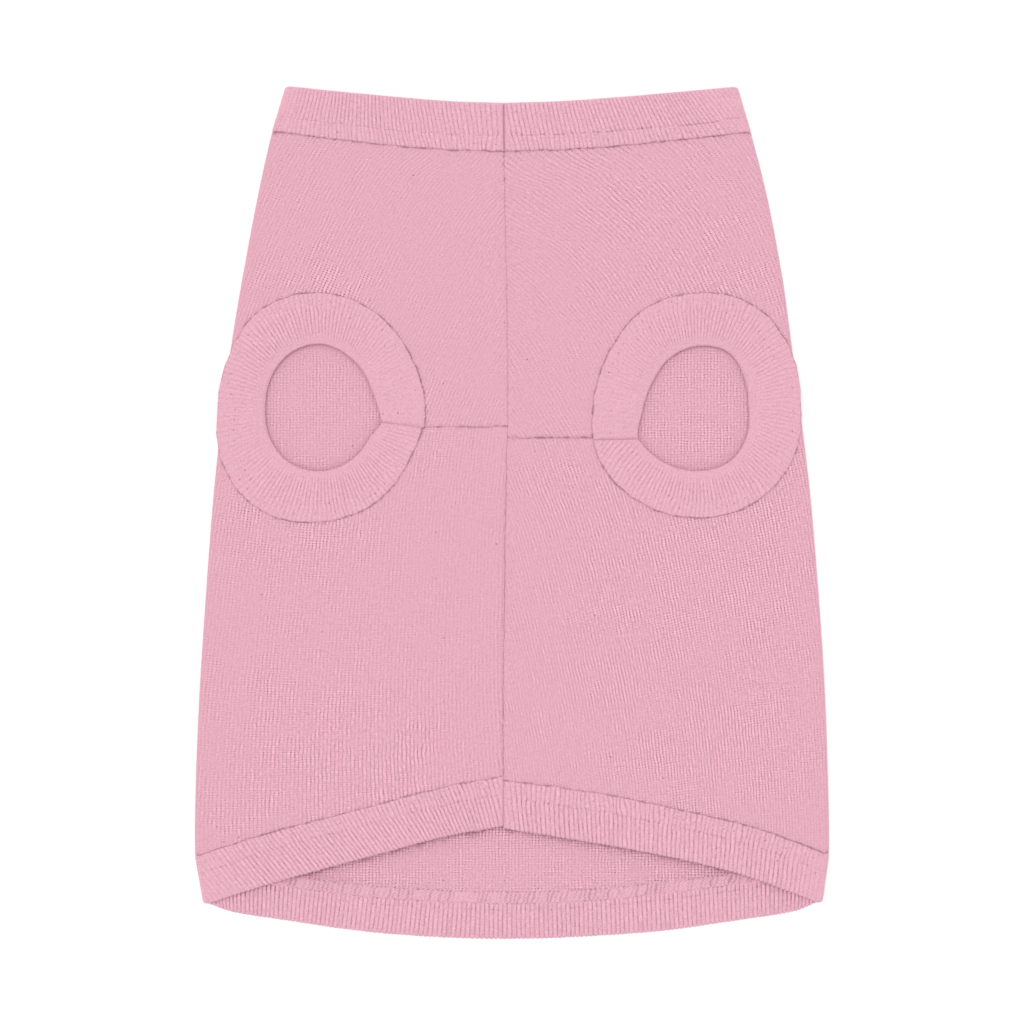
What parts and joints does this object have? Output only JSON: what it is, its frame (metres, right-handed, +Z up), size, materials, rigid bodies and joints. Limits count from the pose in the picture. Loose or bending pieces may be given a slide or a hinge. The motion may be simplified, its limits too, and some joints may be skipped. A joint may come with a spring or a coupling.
{
  "type": "pet tank top",
  "caption": "Sleeveless knitted top for a small dog or cat, laid flat belly side up, with rib bands at neck, hem and leg holes.",
  "frame": {"origin": "on the surface that the garment lies on, under the middle of its outline", "axes": "+X across the garment, +Y from the hem to the neck, +Z up from the surface, out of the belly side"},
  "size_m": [0.2538, 0.3412, 0.0045],
  "materials": {
    "knit": "matt fine cotton knit",
    "rib": "matt cotton 1x1 rib, doubled"
  },
  "bodies": {
    "root": {"body": "knit", "neck_rib": "rib", "hem_rib": "rib", "left_leg_rib": "rib", "right_leg_rib": "rib"}
  },
  "joints": []
}
